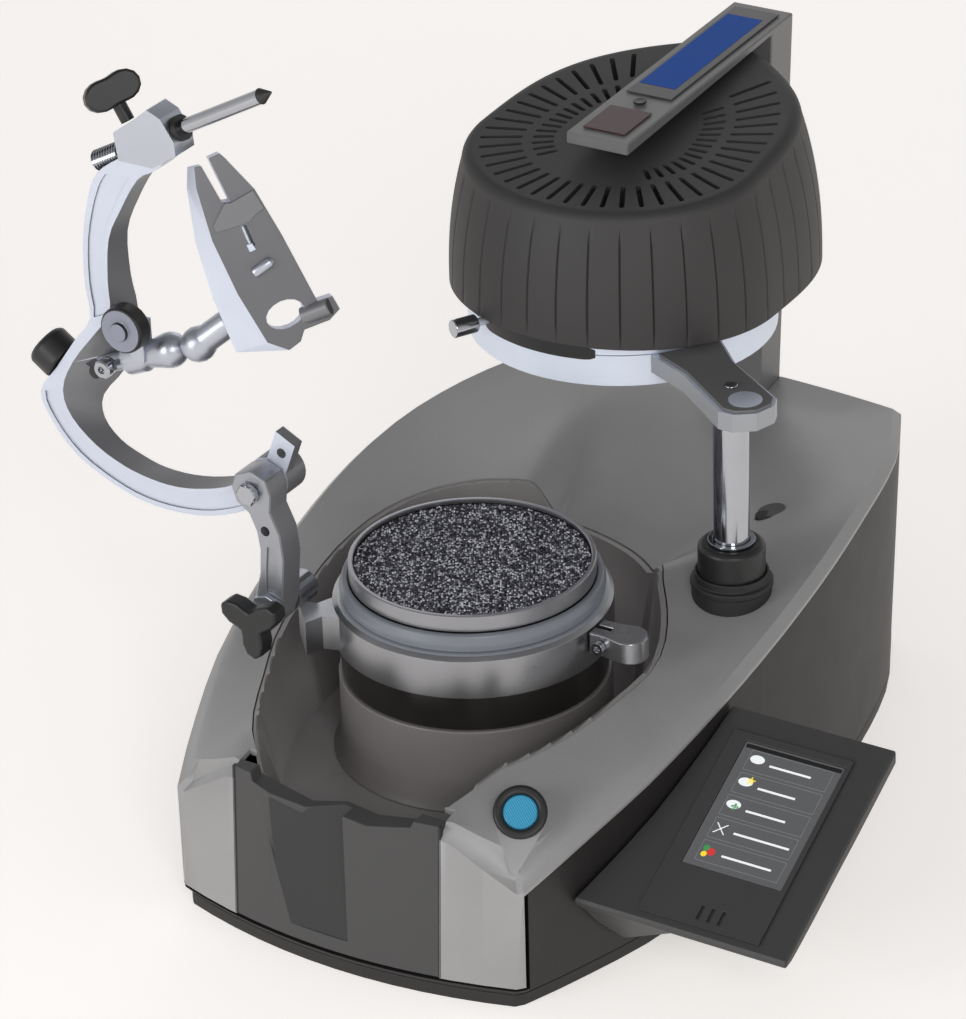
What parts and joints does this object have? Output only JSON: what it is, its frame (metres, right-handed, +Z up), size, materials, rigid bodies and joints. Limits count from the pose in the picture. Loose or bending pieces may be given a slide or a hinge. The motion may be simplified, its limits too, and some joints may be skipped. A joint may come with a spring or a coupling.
{
  "type": "dental vacuum former",
  "caption": "Tabletop vacuum former with a granulate pot, a lifting and swinging foil ring, a hooded heater on a tower, a touch console and a folding jaw holder.",
  "frame": {"origin": "on the flat underside of the base, on the axis of the granulate pot", "axes": "+Z up, +Y towards the heater tower at the rear, +X towards the console"},
  "size_m": [0.3953, 0.3883, 0.3666],
  "materials": {
    "deck": "satin metallic paint",
    "dark_case": "fine texture",
    "tub": "fine texture",
    "hood": "matt",
    "alloy": "satin",
    "dark_steel": "dark polished",
    "chrome": "polished",
    "black": "matt",
    "black_rubber": "matt",
    "seal": "matt",
    "granulate": "loose metal beads",
    "lens": "translucent",
    "screen": "glossy",
    "window": "tinted",
    "inlay": "matt",
    "board": "circuit board",
    "ceramic": "ceramic"
  },
  "bodies": {
    "housing": {"base_plate": "black", "lower_housing": "dark_case", "top_cover": "deck", "front_insert": "dark_case", "tub_liner": "tub", "pot_seat": "tub", "post_collar": "black", "rubber_ring": "black_rubber", "wiper_washer": "alloy", "lift_cylinder": "alloy", "heater_hood": "hood", "heater_tower": "dark_case", "bar_inlay": "inlay", "sensor_window": "window", "sensor_eye": "black", "deck_plug": "alloy", "heater_plate": "ceramic", "heat_reflector": "alloy", "heater_carrier": "alloy", "console_body": "dark_case", "console_panel": "dark_case", "touch_screen": "screen", "button_bezel": "black", "button_switch": "board", "vacuum_pump": "alloy", "pump_motor": "black", "control_board": "board", "power_supply": "alloy", "vacuum_hose": "black_rubber", "mains_inlet": "black"},
    "lift": {"lift_piston": "black", "lift_rod": "chrome"},
    "foil_carrier": {"foil_ring": "alloy", "arm_plate": "black", "arm_screw": "chrome"},
    "foil_lock": {"lock_ring": "alloy", "lever_knob": "chrome"},
    "pot": {"pot_cup": "dark_steel", "granulate": "granulate", "seal_ring": "seal", "flange_ring": "alloy", "pot_handle": "alloy", "handle_screw": "chrome"},
    "jaw_base": {"jaw_link": "alloy", "clamp_plate": "alloy", "hinge_bolt": "chrome"},
    "base_knob": {"base_wing_knob": "black"},
    "jaw_arm": {"jaw_arm": "alloy", "swivel_bracket": "alloy"},
    "incisal_pin": {"incisal_pin": "chrome"},
    "pin_knob": {"top_wing_knob": "black"},
    "elbow_knob": {"rear_knob": "black"},
    "ball_knob": {"round_knob": "dark_steel"},
    "model_holder": {"plate_stem": "alloy", "model_plate": "alloy"},
    "button": {"button_lens": "lens"}
  },
  "joints": [
    {"name": "ring_lift", "type": "slide", "parent": "housing", "child": "lift", "axis": [0, 0, 1], "range_m": [-0.0635, 0]},
    {"name": "ring_swing", "type": "hinge", "parent": "lift", "child": "foil_carrier", "pos_m": [0.092, 0.067, 0.2], "axis": [0, 0, -1], "range_deg": [-72.1, 0]},
    {"name": "foil_lock_turn", "type": "hinge", "parent": "foil_carrier", "child": "foil_lock", "pos_m": [-0.00003, 0.13395, 0.2197], "axis": [0, 0, 1], "range_deg": [0, 40]},
    {"name": "pot_lift_out", "type": "slide", "parent": "housing", "child": "pot", "axis": [0, 0, 1], "range_m": [0, 0.04]},
    {"name": "jaw_base_tilt", "type": "hinge", "parent": "pot", "child": "jaw_base", "pos_m": [-0.0639, -0.05, 0.1317], "axis": [0, 1, 0], "range_deg": [-15, 0]},
    {"name": "base_knob_turn", "type": "hinge", "parent": "jaw_base", "child": "base_knob", "pos_m": [-0.0639, -0.072, 0.1317], "axis": [0, -1, 0], "range_deg": [0, 90]},
    {"name": "jaw_arm_swing", "type": "hinge", "parent": "jaw_base", "child": "jaw_arm", "pos_m": [-0.0704, -0.05, 0.188], "axis": [0, 1, 0], "range_deg": [0, 100]},
    {"name": "incisal_pin_slide", "type": "slide", "parent": "jaw_arm", "child": "incisal_pin", "axis": [0.8813, 0, 0.4726], "range_m": [0, 0.0045]},
    {"name": "pin_knob_turn", "type": "hinge", "parent": "jaw_arm", "child": "pin_knob", "pos_m": [-0.1367, -0.043, 0.3382], "axis": [-0.515, 0, 0.8572], "range_deg": [0, 90]},
    {"name": "elbow_knob_turn", "type": "hinge", "parent": "jaw_arm", "child": "elbow_knob", "pos_m": [-0.181, -0.043, 0.2155], "axis": [-0.8154, 0, 0.5789], "range_deg": [0, 180]},
    {"name": "ball_knob_turn", "type": "hinge", "parent": "jaw_arm", "child": "ball_knob", "pos_m": [-0.1361, -0.053, 0.248], "axis": [0, -1, 0], "range_deg": [0, 180]},
    {"name": "model_plate_tilt", "type": "hinge", "parent": "jaw_arm", "child": "model_holder", "pos_m": [-0.10787, -0.043, 0.24086], "axis": [0, 1, 0], "range_deg": [-5, 10]},
    {"name": "start_button", "type": "slide", "parent": "housing", "child": "button", "axis": [-0.3598, 0.6497, -0.6697], "range_m": [0, 0.0015], "stiffness_N_per_m": 400}
  ]
}
